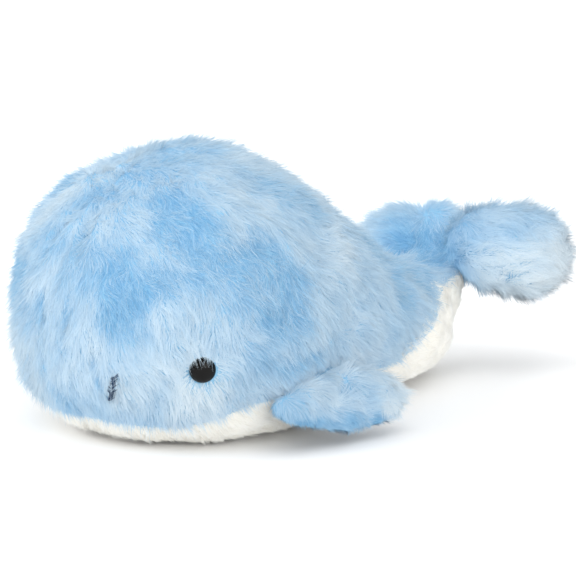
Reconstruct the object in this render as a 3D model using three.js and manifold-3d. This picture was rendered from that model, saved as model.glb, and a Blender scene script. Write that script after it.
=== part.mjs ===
// A plush whale, lying on its belly: a round body, a tail that curls up behind it, two puffy flukes and two
// flippers. Millimetres, +Z up. The whale looks along -X, and its left side is -Y.
// The sewn cover is a set of panels, each as thick as its backing and the dense foot of its pile. The panels
// are closed over stuffing, and two safety eyes are locked through the side panels with toothed washers.
import * as THREE from 'three';
import { mergeVertices } from 'three/addons/utils/BufferGeometryUtils.js';
import Module from 'manifold-3d';

const wasm = await Module();
wasm.setup();

// Cover, seams and clearances
const coat_thickness = 6;
const seam_gap = 0.3;
const cut_overrun = 40;
const weld_distance = 0.0001;
const facet_tolerance = 0.005;

// Body
const body_radius = 82;
const body_level = 48;
const body_crown = 85;
const body_depth = 66;
const belly_softness = 12;
const floor_cut = 0.5;

// Tail
const tail_reach = 182;
const tail_end_length = 20;
const tail_roll_deg = 7;
const tail_hinge_along = 118;
const tail_hinge_height = 38;
const tail_root_radius = 33;
const tail_clearance = 1;
const tail_up_deg = 25;
const tail_down_deg = 15;
const swing_margin_deg = 1.5;

// Flukes
const fluke_centre_along = 193;
const fluke_centre_height = 61;
const fluke_droop_deg = 20;
const fluke_hinge_offset = 22;
const fluke_root_radius = 13.5;
const fluke_inner_length = 38;
const fluke_outer_length = 20.5;
const fluke_half_chord = 25.5;
const fluke_half_thickness = 22;
const fluke_sweep = 7;
const fluke_fullness = 0.75;
const fluke_fold_deg = 25;
const fluke_swing_gap = 0.8;
const fluke_swing_steps = 1;

// Flippers
const flipper_hinge_along = 2;
const flipper_hinge_height = 33;
const flipper_root_radius = 5;
const flipper_root_reach = 1.2;
const flipper_root_length = 56;
const flipper_rise_deg = 10;
const flipper_hang_deg = 14;
const flipper_sweep_deg = 19;
const flipper_half_length = 41;
const flipper_half_width = 18;
const flipper_half_thickness = 7.5;
const flipper_centre_along = 13;
const flipper_centre_down = 12;
const flipper_fullness = 1;
const flipper_coat_share = 0.45;

// Safety eyes and their washers
const eye_angle_deg = 52.6;
const eye_height = 40.5;
const eye_radius = 6;
const eye_dome = 5;
const eye_rim = 1.1;
const eye_proud = 0.6;
const shank_radius = 2;
const shank_length = 15;
const ratchet_radius = 2.5;
const ratchet_pitch = 1.5;
const ratchet_slope_share = 0.9;
const washer_radius = 9;
const washer_thickness = 1.6;
const washer_tooth_length = 2.2;
const washer_tooth_count = 8;
const washer_tooth_share = 0.55;
const washer_dish = 0.8;

// Facets
const trunk_steps = 26;
const head_steps = 7;
const end_steps = 3;
const trunk_sides = 26;
const lobe_steps = 12;
const lobe_sides = 12;
const root_sides = 24;
const eye_sides = 18;
const eye_dome_steps = 7;

// The back line and the belly line behind the middle of the body, as shares of the tail's reach and of the
// body's height, and the half width there as a share of the body's radius. The flukes sit at the last place.
const back_line_shares = [
  [0.23, 0.905], [0.44, 0.73], [0.6, 0.565], [0.75, 0.474], [0.875, 0.455], [0.965, 0.475], [1.02, 0.6],
];
const belly_line_shares = [
  [0.23, -0.125], [0.45, -0.1], [0.648, -0.06], [0.82, -0.02], [0.935, 0.075], [1.02, 0.24], [1.06, 0.34],
];
const half_width_shares = [0.89, 0.73, 0.6, 0.47, 0.33, 0.23, 0.2];
const tail_middle_share = 0.5;

// Behind the body's middle, the shares of the way to the tail's end where its section stops changing from the
// body's, and where its roll starts and ends.
const section_end_share = 0.5;
const roll_start_share = 0.45;
const roll_end_share = 0.95;
const curve_tension_share = 0.5;

// The seam between the blue cover and the cream underside, seen from the side, in the same shares.
const belly_seam_shares = [
  [-0.6, 0.125], [-0.42, 0.11], [-0.27, 0.085], [-0.13, 0.17], [0, 0.19], [0.3, 0.175], [0.5, 0.15],
  [0.59, 0.184], [0.72, 0.263], [0.86, 0.34], [0.97, 0.39], [1.05, 0.43], [1.3, 0.45],
];

const body_height = body_level + body_crown;
const radians = THREE.MathUtils.degToRad;
const whale = new THREE.Group();

const colours = {
  blue: new THREE.MeshStandardMaterial({ color: 0xa3cbe8, roughness: 0.95 }),
  cream: new THREE.MeshStandardMaterial({ color: 0xeae9e3, roughness: 0.95 }),
  stuffing: new THREE.MeshStandardMaterial({ color: 0xf2f2f0, roughness: 1 }),
  eye: new THREE.MeshStandardMaterial({ color: 0x14110f, roughness: 0.12 }),
  washer: new THREE.MeshStandardMaterial({ color: 0xe6e6e2, roughness: 0.45 }),
};

// A closed geometry as a solid that can be joined and cut.
function solidOf(geometry) {
  const bare = geometry.clone();
  bare.deleteAttribute('normal');
  bare.deleteAttribute('uv');
  const merged = mergeVertices(bare, weld_distance);
  const corners = merged.index.array;
  const kept = [];
  for (let i = 0; i < corners.length; i += 3) {
    const [a, b, c] = [corners[i], corners[i + 1], corners[i + 2]];
    if (a !== b && b !== c && c !== a) kept.push(a, b, c);
  }
  return new wasm.Manifold(new wasm.Mesh({
    numProp: 3,
    vertProperties: merged.attributes.position.array,
    triVerts: Uint32Array.from(kept),
  }));
}

function geometryOf(solid) {
  const mesh = solid.getMesh();
  const geometry = new THREE.BufferGeometry();
  geometry.setAttribute('position', new THREE.BufferAttribute(Float32Array.from(mesh.vertProperties), 3));
  geometry.setIndex(new THREE.BufferAttribute(Uint32Array.from(mesh.triVerts), 1));
  geometry.computeVertexNormals();
  return geometry;
}

// The main body of a cut solid, without the loose slivers that a cut can leave beside it and without facets
// that are flatter or shorter than the tolerance.
function mainBody(solid) {
  const bodies = solid.decompose();
  const body = bodies.reduce((best, other) => (other.volume() > best.volume() ? other : best));
  return body.asOriginal().simplify(facet_tolerance);
}

function addPiece(name, solid, material) {
  const mesh = new THREE.Mesh(geometryOf(mainBody(solid)), colours[material]);
  mesh.name = name;
  whale.add(mesh);
}

function placed(geometry, matrix) {
  return solidOf(geometry.clone().applyMatrix4(matrix));
}

// A closed form between two points, made of rings. place(share, angle) gives a point of its surface.
function loft(steps, sides, place) {
  const points = [place(0, 0)];
  for (let i = 1; i < steps; i += 1) {
    for (let j = 0; j < sides; j += 1) points.push(place(i / steps, (2 * Math.PI * j) / sides));
  }
  points.push(place(1, 0));
  const at = (i, j) => 1 + (i - 1) * sides + (j % sides);
  const faces = [];
  for (let j = 0; j < sides; j += 1) {
    faces.push(0, at(1, j + 1), at(1, j));
    for (let i = 1; i < steps - 1; i += 1) {
      faces.push(at(i, j), at(i, j + 1), at(i + 1, j + 1));
      faces.push(at(i, j), at(i + 1, j + 1), at(i + 1, j));
    }
    faces.push(at(steps - 1, j), at(steps - 1, j + 1), points.length - 1);
  }
  const geometry = new THREE.BufferGeometry();
  const numbers = points.flatMap((point) => point.toArray());
  geometry.setAttribute('position', new THREE.Float32BufferAttribute(numbers, 3));
  geometry.setIndex(faces);
  const solid = solidOf(geometry);
  if (solid.volume() >= 0) return solid;
  const turned = [];
  for (let i = 0; i < faces.length; i += 3) turned.push(faces[i], faces[i + 2], faces[i + 1]);
  geometry.setIndex(turned);
  return solidOf(geometry);
}

// The larger of two heights, with a round change from one to the other.
function softMaximum(a, b, softness) {
  const mix = Math.max(softness - Math.abs(a - b), 0) / softness;
  return Math.max(a, b) + (mix * mix * softness) / 4;
}

const smooth = (share) => share * share * (3 - 2 * share);
const shareBetween = (value, low, high) => THREE.MathUtils.clamp((value - low) / (high - low), 0, 1);

// The trunk is the body and the tail in one form. In front of the body's middle it is a round head, and behind
// it follows the back line and the belly line to the flukes, where it closes in a round end.
const backLine = trunkLine(back_line_shares, body_height, body_level + body_crown);
const bellyLine = trunkLine(belly_line_shares, body_height, body_level - body_depth);
const widths = new THREE.CatmullRomCurve3(
  [1, 1, ...half_width_shares].map((share, i) => new THREE.Vector3(i, share * body_radius, 0)),
  false, 'catmullrom', curve_tension_share,
);

function trunkLine(shares, height, start) {
  const first = new THREE.Vector3(0, 0, start);
  const before = new THREE.Vector3(-shares[0][0] * tail_reach, 0, shares[0][1] * height);
  const after = shares.map(([along, up]) => new THREE.Vector3(along * tail_reach, 0, up * height));
  return new THREE.CatmullRomCurve3([before, first, ...after], false, 'catmullrom', curve_tension_share);
}

// The section of the trunk at a share of its length: its top, its bottom, its half width, the share of its
// height where it is widest, and how far it is turned over.
function trunkSection(share, inset) {
  const step = share * trunk_steps;
  const ball_middle_share = body_depth / (body_depth + body_crown);
  if (step <= head_steps) {
    const turn = (Math.PI / 2) * (step / head_steps);
    const along = -(body_radius - inset) * Math.cos(turn);
    return {
      top: new THREE.Vector3(along, 0, body_level + (body_crown - inset) * Math.sin(turn)),
      bottom: new THREE.Vector3(along, 0, body_level - (body_depth - inset) * Math.sin(turn)),
      halfWidth: (body_radius - inset) * Math.sin(turn),
      middleShare: ball_middle_share,
      roll: 0,
    };
  }
  const places = half_width_shares.length + 1;
  const behind = Math.min((step - head_steps) / (trunk_steps - end_steps - head_steps), 1);
  const at = (1 + behind * (places - 1)) / places;
  const top = backLine.getPoint(at);
  const bottom = bellyLine.getPoint(at);
  const down = bottom.clone().sub(top).normalize();
  const closing = (Math.PI / 2) * Math.max(step - (trunk_steps - end_steps), 0) / end_steps;
  const middle = top.clone().add(bottom).divideScalar(2);
  const forward = new THREE.Vector3(-down.z, 0, down.x);
  const shrink = Math.cos(closing);
  const shift = forward.multiplyScalar((tail_end_length - inset) * Math.sin(closing));
  top.addScaledVector(down, inset);
  bottom.addScaledVector(down, -inset);
  const mix = smooth(shareBetween(behind, 0, section_end_share));
  return {
    top: middle.clone().lerp(top, shrink).add(shift),
    bottom: middle.clone().lerp(bottom, shrink).add(shift),
    halfWidth: (widths.getPoint(at).y - inset) * shrink,
    middleShare: THREE.MathUtils.lerp(ball_middle_share, tail_middle_share, mix),
    roll: radians(tail_roll_deg) * smooth(shareBetween(behind, roll_start_share, roll_end_share)),
  };
}

// A point of the trunk's surface, inset from the cover's outer face. The angle starts on the back and goes
// round by the left side. The floor presses the belly flat.
function trunkPoint(share, angle, inset) {
  const section = trunkSection(share, inset);
  const middle = section.bottom.clone().lerp(section.top, section.middleShare);
  const up = Math.cos(angle);
  const side = -section.halfWidth * Math.sin(angle);
  const reach = (up > 0 ? section.top : section.bottom).clone().sub(middle);
  const rise = reach.multiplyScalar(Math.abs(up));
  const point = middle.clone().add(rise);
  const lift = -side * Math.sin(section.roll);
  const upward = section.top.clone().sub(section.bottom).normalize();
  const height = Math.sign(up) * rise.length();
  point.addScaledVector(upward, lift);
  point.y = side * Math.cos(section.roll) + height * Math.sin(section.roll);
  const raised = smooth(shareBetween(middle.x, tail_hinge_along - tail_root_radius, tail_hinge_along));
  const floor = THREE.MathUtils.lerp(-floor_cut, tail_clearance, raised);
  point.z = softMaximum(point.z, inset + floor, belly_softness);
  return point;
}

function trunk(inset) {
  return loft(trunk_steps, trunk_sides, (share, angle) => trunkPoint(share, angle, inset));
}

// Cutting blocks
const far = 2 * (tail_reach + body_radius) + cut_overrun;

function halfSpace(normal, point) {
  const block = new THREE.BoxGeometry(far, far, far).translate(0, 0, far / 2);
  const direction = normal.clone().normalize();
  const turn = new THREE.Quaternion().setFromUnitVectors(new THREE.Vector3(0, 0, 1), direction);
  return placed(block, new THREE.Matrix4().compose(point, turn, new THREE.Vector3(1, 1, 1)));
}

// A round bar about a line. Its flats touch the radius where it is a socket and its corners do where it is a pin.
function bar(radius, length, matrix, socket) {
  const reach = socket ? radius / Math.cos(Math.PI / root_sides) : radius;
  return placed(new THREE.CylinderGeometry(reach, reach, length, root_sides), matrix);
}

// A flat outline in a frame, extruded both ways along the frame's third axis.
function prism(outline, length, matrix) {
  const shape = new THREE.Shape(outline.map(([a, b]) => new THREE.Vector2(a, b)));
  const block = new THREE.ExtrudeGeometry(shape, { depth: length, bevelEnabled: false, steps: 1 });
  return placed(block.translate(0, 0, -length / 2), matrix);
}

// Everything below the belly seam, moved down or up by a small step.
function belowSeam(step) {
  const seam = belly_seam_shares.map(([along, up]) => [along * tail_reach, up * body_height + step]);
  const last = seam[seam.length - 1];
  const outline = [[seam[0][0] - far, seam[0][1]], ...seam, [last[0] + far, last[1]]];
  outline.push([last[0] + far, -far], [seam[0][0] - far, -far]);
  const sideways = new THREE.Matrix4().makeRotationX(Math.PI / 2);
  return prism(outline, far, sideways);
}

// A wedge about a hinge line, from one angle to another, that lets the moving part swing.
function swingWedge(from, to, reach, length, matrix) {
  const step = (to - from) / 2;
  const rim = [0, 1, 2].map((i) => {
    const turn = radians(from + i * step);
    return [reach * Math.cos(turn), reach * Math.sin(turn)];
  });
  const outline = [[0, 0], ...rim];
  return prism(to > from ? outline : outline.reverse(), length, matrix);
}

const floorBlock = halfSpace(new THREE.Vector3(0, 0, -1), new THREE.Vector3());
const outer = trunk(0).subtract(floorBlock);
const lining = trunk(coat_thickness);
const core = trunk(coat_thickness + seam_gap);

// The tail turns on a line across its root. Its front is round about that line, and the body ends in a round
// seat with open wedges above and below for the swing.
const tailHinge = new THREE.Vector3(tail_hinge_along, 0, tail_hinge_height);
const sideFrame = new THREE.Matrix4().makeRotationX(Math.PI / 2).setPosition(tailHinge);
const acrossFrame = new THREE.Matrix4().setPosition(tailHinge);
const tailRegion = halfSpace(new THREE.Vector3(1, 0, 0), tailHinge)
  .add(bar(tail_root_radius, far, acrossFrame, false));
const bodyCut = halfSpace(new THREE.Vector3(1, 0, 0), new THREE.Vector3(tail_hinge_along - seam_gap, 0, 0))
  .add(bar(tail_root_radius + seam_gap, far, acrossFrame, true))
  .add(swingWedge(90, 90 + tail_up_deg + swing_margin_deg, body_radius, far, sideFrame))
  .add(swingWedge(-90, -90 - tail_down_deg - swing_margin_deg, body_radius, far, sideFrame));

// A lobe is a puffy paddle. It swells from both ends to its widest place, and it may sweep back along its chord.
// The frame has its first axis along the chord, its second outward and its third through the thickness.
function lobe(size, inset) {
  return loft(lobe_steps, lobe_sides, (share, angle) => {
    const turn = Math.PI * share;
    const length = (turn < Math.PI / 2 ? size.inner : size.outer) - inset;
    const out = size.middle - length * Math.cos(turn);
    const swell = Math.max(Math.sin(turn), 0) ** size.fullness;
    const swept = size.sweep * Math.max(out, 0) ** 2 / size.span ** 2;
    return new THREE.Vector3(
      swept + (size.chord - inset) * swell * Math.cos(angle),
      out,
      (size.thickness - inset) * swell * Math.sin(angle),
    ).applyMatrix4(size.frame);
  });
}

const centreOf = (size) => new THREE.Vector3().setFromMatrixPosition(size.frame);

// Both flukes: each folds on a line along its chord, beside the tail's end.
const droop = radians(fluke_droop_deg);
const chordLine = new THREE.Vector3(Math.cos(droop), 0, -Math.sin(droop));
const flukeCentre = new THREE.Vector3(fluke_centre_along, 0, fluke_centre_height);

function flukeFrame(side) {
  const chord = chordLine.clone();
  const level = new THREE.Vector3(0, side, 0);
  const upright = new THREE.Vector3(-chord.z, 0, chord.x);
  const roll = radians(tail_roll_deg);
  const outward = level.multiplyScalar(Math.cos(roll)).addScaledVector(upright, -side * Math.sin(roll));
  const through = new THREE.Vector3().crossVectors(chord, outward);
  return new THREE.Matrix4().makeBasis(chord, outward, through).setPosition(flukeCentre);
}

// The line that a fluke folds on: its place, its direction, and the directions outward and through the fluke.
function foldLine(frame) {
  const [chord, outward, through] = [new THREE.Vector3(), new THREE.Vector3(), new THREE.Vector3()];
  frame.extractBasis(chord, outward, through);
  const origin = new THREE.Vector3().setFromMatrixPosition(frame).addScaledVector(outward, fluke_hinge_offset);
  return { origin, chord, outward, through };
}

// A fluke's sizes, with the fluke folded by an angle.
function flukeSize(side, fold) {
  const frame = flukeFrame(side);
  const { origin, chord } = foldLine(frame);
  const there = new THREE.Matrix4().makeTranslation(origin.x, origin.y, origin.z);
  const back = new THREE.Matrix4().makeTranslation(-origin.x, -origin.y, -origin.z);
  frame.premultiply(back).premultiply(new THREE.Matrix4().makeRotationAxis(chord, fold)).premultiply(there);
  return {
    frame,
    middle: fluke_hinge_offset + fluke_outer_length,
    inner: fluke_inner_length,
    outer: fluke_outer_length,
    chord: fluke_half_chord,
    thickness: fluke_half_thickness,
    sweep: fluke_sweep,
    fullness: fluke_fullness,
    span: fluke_hinge_offset + 2 * fluke_outer_length,
  };
}

// What a fluke keeps of its lobe: all beyond the fold line, and a round root about the line.
function flukeRegion(side, size, gap) {
  const { origin, outward } = foldLine(size.frame);
  const rest = foldLine(flukeFrame(side));
  const along = new THREE.Matrix4().makeBasis(rest.outward, rest.chord, rest.outward.clone().cross(rest.chord));
  along.setPosition(origin);
  const beyond = halfSpace(outward, origin.clone().addScaledVector(outward, -gap));
  return beyond.add(bar(fluke_root_radius + gap, far, along, gap > 0));
}

function flukeParts(side, name) {
  const size = flukeSize(side, 0);
  const { through } = foldLine(size.frame);
  const region = flukeRegion(side, size, 0);
  const upward = through.z > 0 ? through.clone() : through.clone().negate();
  const above = halfSpace(upward, centreOf(size).addScaledVector(upward, seam_gap / 2));
  const below = halfSpace(upward.clone().negate(), centreOf(size).addScaledVector(upward, -seam_gap / 2));
  const shell = lobe(size, 0).subtract(lobe(size, coat_thickness)).intersect(region);
  addPiece(`fluke_${name}_top_panel`, shell.intersect(above), 'blue');
  addPiece(`fluke_${name}_underside_panel`, shell.intersect(below), 'cream');
  addPiece(`fluke_${name}_fill`, lobe(size, coat_thickness + seam_gap).intersect(region), 'stuffing');
  return flukeSweep(side);
}

// The room that a fluke takes in the tail's end as it folds.
function flukeSweep(side) {
  const places = [];
  for (let i = -fluke_swing_steps; i <= fluke_swing_steps; i += 1) {
    const size = flukeSize(side, radians(fluke_fold_deg) * (i / fluke_swing_steps));
    places.push(lobe(size, -fluke_swing_gap).intersect(flukeRegion(side, size, fluke_swing_gap)));
  }
  return places.reduce((all, place) => all.add(place));
}

const flukeCuts = [[-1, 'left'], [1, 'right']].map(([side, name]) => flukeParts(side, name));

// Flippers: each hangs from a line on the body's side, swept back, with its lower edge just off the floor.
function flipperHinge(side) {
  const rise = radians(flipper_rise_deg);
  const hang = radians(flipper_hang_deg);
  const along = new THREE.Vector3(Math.cos(rise), 0, Math.sin(rise));
  const down = new THREE.Vector3(0, side * Math.sin(hang), -Math.cos(hang));
  down.addScaledVector(along, -down.dot(along)).normalize();
  const drop = (flipper_hinge_height - body_level) / body_depth;
  const round = body_radius * Math.sqrt(1 - drop ** 2);
  const wide = Math.sqrt(round ** 2 - flipper_hinge_along ** 2) + flipper_root_reach;
  const origin = new THREE.Vector3(flipper_hinge_along, side * wide, flipper_hinge_height);
  return { origin, along, down };
}

function flipperSize(side) {
  const { origin, along, down } = flipperHinge(side);
  const sweep = radians(flipper_sweep_deg);
  const length = along.clone().multiplyScalar(Math.cos(sweep)).addScaledVector(down, Math.sin(sweep));
  const width = along.clone().multiplyScalar(-Math.sin(sweep)).addScaledVector(down, Math.cos(sweep));
  const through = width.clone().cross(length);
  const centre = origin.clone().addScaledVector(along, flipper_centre_along);
  centre.addScaledVector(down, flipper_centre_down);
  return {
    frame: new THREE.Matrix4().makeBasis(width, length, through).setPosition(centre),
    middle: 0,
    inner: flipper_half_length,
    outer: flipper_half_length,
    chord: flipper_half_width,
    thickness: flipper_half_thickness,
    sweep: 0,
    fullness: flipper_fullness,
    span: flipper_half_length,
  };
}

function flipperParts(side, name) {
  const size = flipperSize(side);
  const { origin, along, down } = flipperHinge(side);
  const bodyOuter = trunk(-seam_gap);
  const across = new THREE.Vector3().crossVectors(along, down);
  const barFrame = new THREE.Matrix4().makeBasis(down, along, down.clone().cross(along)).setPosition(origin);
  const root = bar(flipper_root_radius, flipper_root_length, barFrame, false);
  const region = halfSpace(down, origin).subtract(bodyOuter).add(root);
  const outward = across.y * side > 0 ? across.clone() : across.clone().negate();
  const centre = centreOf(size);
  const outside = halfSpace(outward, centre.clone().addScaledVector(outward, seam_gap / 2));
  const inside = halfSpace(outward.clone().negate(), centre.clone().addScaledVector(outward, -seam_gap / 2));
  const cover = flipper_coat_share * coat_thickness;
  const rootBlock = root.intersect(halfSpace(down.clone().negate(), origin.clone().addScaledVector(down, cover)));
  const whole = lobe(size, 0).add(rootBlock).intersect(region);
  const inner = lobe(size, cover).intersect(halfSpace(down, origin));
  const belowRoot = halfSpace(down, origin.clone().addScaledVector(down, seam_gap));
  const filling = lobe(size, cover + seam_gap).intersect(belowRoot);
  const shell = whole.subtract(inner);
  addPiece(`flipper_${name}_top_panel`, shell.intersect(outside), 'blue');
  addPiece(`flipper_${name}_underside_panel`, shell.intersect(inside), 'blue');
  addPiece(`flipper_${name}_fill`, filling.subtract(trunk(-seam_gap - cover)), 'stuffing');
  return bar(flipper_root_radius + seam_gap, flipper_root_length + 2 * seam_gap, barFrame, true);
}

const flipperCuts = [[-1, 'left'], [1, 'right']].map(([side, name]) => flipperParts(side, name));

// Safety eyes. In the eye's frame the third axis points out of the body and zero is the cover's outer face.
function eyeFrame(side) {
  const turn = radians(eye_angle_deg);
  const drop = (eye_height - body_level) / body_depth;
  const round = body_radius * Math.sqrt(1 - drop ** 2);
  const place = new THREE.Vector3(-round * Math.cos(turn), side * round * Math.sin(turn), eye_height);
  const normal = new THREE.Vector3(
    place.x / body_radius ** 2,
    place.y / body_radius ** 2,
    (eye_height - body_level) / body_depth ** 2,
  ).normalize();
  const turned = new THREE.Quaternion().setFromUnitVectors(new THREE.Vector3(0, 1, 0), normal);
  return new THREE.Matrix4().compose(place, turned, new THREE.Vector3(1, 1, 1));
}

const eye_back = eye_proud - eye_dome;

// The eye's profile: a domed head, a flat back, a shank with ratchet teeth that point out, and a blunt tip.
function eyeProfile() {
  const points = [];
  for (let i = 0; i <= eye_dome_steps; i += 1) {
    const turn = (Math.PI / 2) * (i / eye_dome_steps);
    const height = eye_back + eye_rim + (eye_dome - eye_rim) * Math.cos(turn);
    points.push(new THREE.Vector2(eye_radius * Math.sin(turn), height));
  }
  points.push(new THREE.Vector2(eye_radius, eye_back));
  points.push(new THREE.Vector2(shank_radius, eye_back));
  const first = eye_back - coat_thickness / 2;
  const teeth = Math.floor((shank_length - coat_thickness) / ratchet_pitch);
  for (let i = 0; i < teeth; i += 1) {
    const top = first - i * ratchet_pitch;
    points.push(new THREE.Vector2(shank_radius, top));
    points.push(new THREE.Vector2(ratchet_radius, top));
    points.push(new THREE.Vector2(shank_radius, top - ratchet_slope_share * ratchet_pitch));
  }
  points.push(new THREE.Vector2(shank_radius, eye_back - shank_length + shank_radius));
  points.push(new THREE.Vector2(0, eye_back - shank_length));
  return points.reverse();
}

// The washer: a dished ring whose hole is a ring of teeth that grip the shank.
function washerSolid(frame) {
  const top = -coat_thickness - seam_gap;
  const bottom = top - washer_thickness;
  const hole = ratchet_radius + seam_gap;
  const inner = hole + washer_tooth_length;
  const ring = [
    [inner, top - washer_dish], [washer_radius - washer_dish, top], [washer_radius, top],
    [washer_radius, bottom + washer_dish], [washer_radius - washer_dish, bottom], [inner, bottom],
  ];
  const profile = [...ring, ring[0]].reverse().map(([r, h]) => new THREE.Vector2(r, h));
  let washer = placed(new THREE.LatheGeometry(profile, eye_sides), frame);
  const spacing = (2 * Math.PI) / washer_tooth_count;
  const root = inner * Math.sin(spacing / 2) * washer_tooth_share;
  const shape = new THREE.Shape([
    new THREE.Vector2(hole, -root / 2), new THREE.Vector2(inner + root, -root),
    new THREE.Vector2(inner + root, root), new THREE.Vector2(hole, root / 2),
  ]);
  const thickness = washer_thickness - washer_dish;
  for (let i = 0; i < washer_tooth_count; i += 1) {
    const tooth = new THREE.ExtrudeGeometry(shape, { depth: thickness, bevelEnabled: false, steps: 1 });
    tooth.rotateX(-Math.PI / 2).rotateY(i * spacing).translate(0, bottom, 0);
    washer = washer.add(placed(tooth, frame));
  }
  return washer;
}

// The place of an eye in the cover: a round pocket for the head, a hole for the shank and, at the back, the flat
// seat that the washer presses.
function eyePocket(frame) {
  const pocket = new THREE.CylinderGeometry(eye_radius + seam_gap, eye_radius + seam_gap, eye_dome, eye_sides);
  pocket.translate(0, eye_back - seam_gap + eye_dome / 2, 0);
  const narrow = ratchet_radius + seam_gap;
  const hole = new THREE.CylinderGeometry(narrow, narrow, shank_length, eye_sides);
  hole.translate(0, eye_back + eye_rim - shank_length / 2, 0);
  const wide = washer_radius + seam_gap;
  const seat = new THREE.CylinderGeometry(wide, wide, eye_dome, eye_sides);
  seat.translate(0, -coat_thickness - eye_dome / 2, 0);
  return placed(pocket, frame).add(placed(hole, frame)).add(placed(seat, frame));
}

// The place of the washer and the shank in the stuffing.
function washerPocket(frame) {
  const reach = washer_radius + seam_gap;
  const deep = coat_thickness + washer_thickness + 2 * seam_gap;
  const pocket = new THREE.CylinderGeometry(reach, reach, deep, eye_sides).translate(0, -deep / 2, 0);
  const narrow = ratchet_radius + seam_gap;
  const length = shank_length + seam_gap - eye_back;
  const hole = new THREE.CylinderGeometry(narrow, narrow, length, eye_sides).translate(0, -length / 2, 0);
  return placed(pocket, frame).add(placed(hole, frame));
}

const eyeFrames = [[-1, 'left'], [1, 'right']].map(([side, name]) => ({ name, frame: eyeFrame(side) }));
for (const { name, frame } of eyeFrames) {
  addPiece(`eye_${name}`, placed(new THREE.LatheGeometry(eyeProfile(), eye_sides), frame), 'eye');
  addPiece(`eye_washer_${name}`, washerSolid(frame), 'washer');
}

// Body: two side panels that meet on the back and under the nose, a belly panel, and the stuffing.
const leftHalf = halfSpace(new THREE.Vector3(0, -1, 0), new THREE.Vector3(0, -seam_gap / 2, 0));
const rightHalf = halfSpace(new THREE.Vector3(0, 1, 0), new THREE.Vector3(0, seam_gap / 2, 0));
const underside = belowSeam(-seam_gap / 2);
const notUpperside = belowSeam(seam_gap / 2);

let bodyCover = outer.subtract(lining).subtract(bodyCut);
let bodyFill = core.subtract(bodyCut);
for (const cut of flipperCuts) {
  bodyCover = bodyCover.subtract(cut);
  bodyFill = bodyFill.subtract(cut);
}
for (const { frame } of eyeFrames) {
  bodyCover = bodyCover.subtract(eyePocket(frame));
  bodyFill = bodyFill.subtract(washerPocket(frame));
}
const sides = bodyCover.subtract(notUpperside);
addPiece('left_side_panel', sides.intersect(leftHalf), 'blue');
addPiece('right_side_panel', sides.intersect(rightHalf), 'blue');
addPiece('belly_panel', bodyCover.intersect(underside), 'cream');
addPiece('body_fill', bodyFill, 'stuffing');

// Tail: two side panels that meet on the back, an underside panel, and the stuffing.
let tailCover = outer.subtract(lining).intersect(tailRegion);
let tailFill = core.intersect(tailRegion);
for (const cut of flukeCuts) {
  tailCover = tailCover.subtract(cut);
  tailFill = tailFill.subtract(cut);
}
const tailSides = tailCover.subtract(notUpperside);
addPiece('tail_left_panel', tailSides.intersect(leftHalf), 'blue');
addPiece('tail_right_panel', tailSides.intersect(rightHalf), 'blue');
addPiece('tail_underside_panel', tailCover.intersect(underside), 'cream');
addPiece('tail_fill', tailFill, 'stuffing');

// The origin is on the floor, in the middle of the whole toy.
const extent = new THREE.Box3().setFromObject(whale);
const middle = extent.getCenter(new THREE.Vector3());
whale.position.set(-middle.x, -middle.y, -extent.min.z);

export default whale;
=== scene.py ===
import math

import bpy
import numpy as np
from mathutils import Matrix, Vector
from mathutils.bvhtree import BVHTree
from mathutils.kdtree import KDTree


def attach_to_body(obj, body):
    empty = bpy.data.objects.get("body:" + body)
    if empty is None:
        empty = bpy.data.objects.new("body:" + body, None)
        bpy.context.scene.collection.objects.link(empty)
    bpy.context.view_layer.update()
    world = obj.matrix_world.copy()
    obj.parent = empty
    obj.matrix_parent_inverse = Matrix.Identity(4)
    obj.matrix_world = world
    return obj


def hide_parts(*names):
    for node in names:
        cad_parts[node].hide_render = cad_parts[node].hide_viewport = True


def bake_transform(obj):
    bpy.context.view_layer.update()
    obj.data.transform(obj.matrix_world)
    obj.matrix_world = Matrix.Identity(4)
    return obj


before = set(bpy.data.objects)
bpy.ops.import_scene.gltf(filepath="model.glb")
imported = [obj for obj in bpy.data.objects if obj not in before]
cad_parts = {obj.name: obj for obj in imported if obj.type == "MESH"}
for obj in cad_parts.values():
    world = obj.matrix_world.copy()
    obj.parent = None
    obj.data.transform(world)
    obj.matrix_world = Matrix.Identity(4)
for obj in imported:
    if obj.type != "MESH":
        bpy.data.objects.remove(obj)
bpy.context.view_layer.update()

# The shapes repeat the part's own formulas, in millimetres in the part's source frame. PLACE moves them to
# the row frame and MM makes them metres.
MM = 0.001
PLACE = np.array([-70.3274, 0.0, 0.0])
BODY_RADIUS, BODY_LEVEL, BODY_CROWN, BODY_DEPTH = 82.0, 48.0, 85.0, 66.0
BODY_HEIGHT = BODY_LEVEL + BODY_CROWN
TAIL_REACH, TAIL_END, TAIL_ROLL = 182.0, 20.0, math.radians(7)
TAIL_HINGE = np.array([118.0, 0.0, 38.0])
TAIL_ROOT = 33.0  # half the length of the soft bend at the tail's hinge
BELLY_SOFT = 12.0  # how softly the round belly goes over into its flat place
STEPS, HEAD_STEPS, END_STEPS = 26.0, 7.0, 3.0  # the source's rings: all, the head's and the tail's closed end
FLIPPER_LEVEL, EYE_LEVEL = 33, 40.5  # the heights of the flippers' roots and of the eyes
EYE_RADIUS, EYE_CLEAR = 6.0, 6.9  # of an eye's head, and of the place around it where no strand stands
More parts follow.
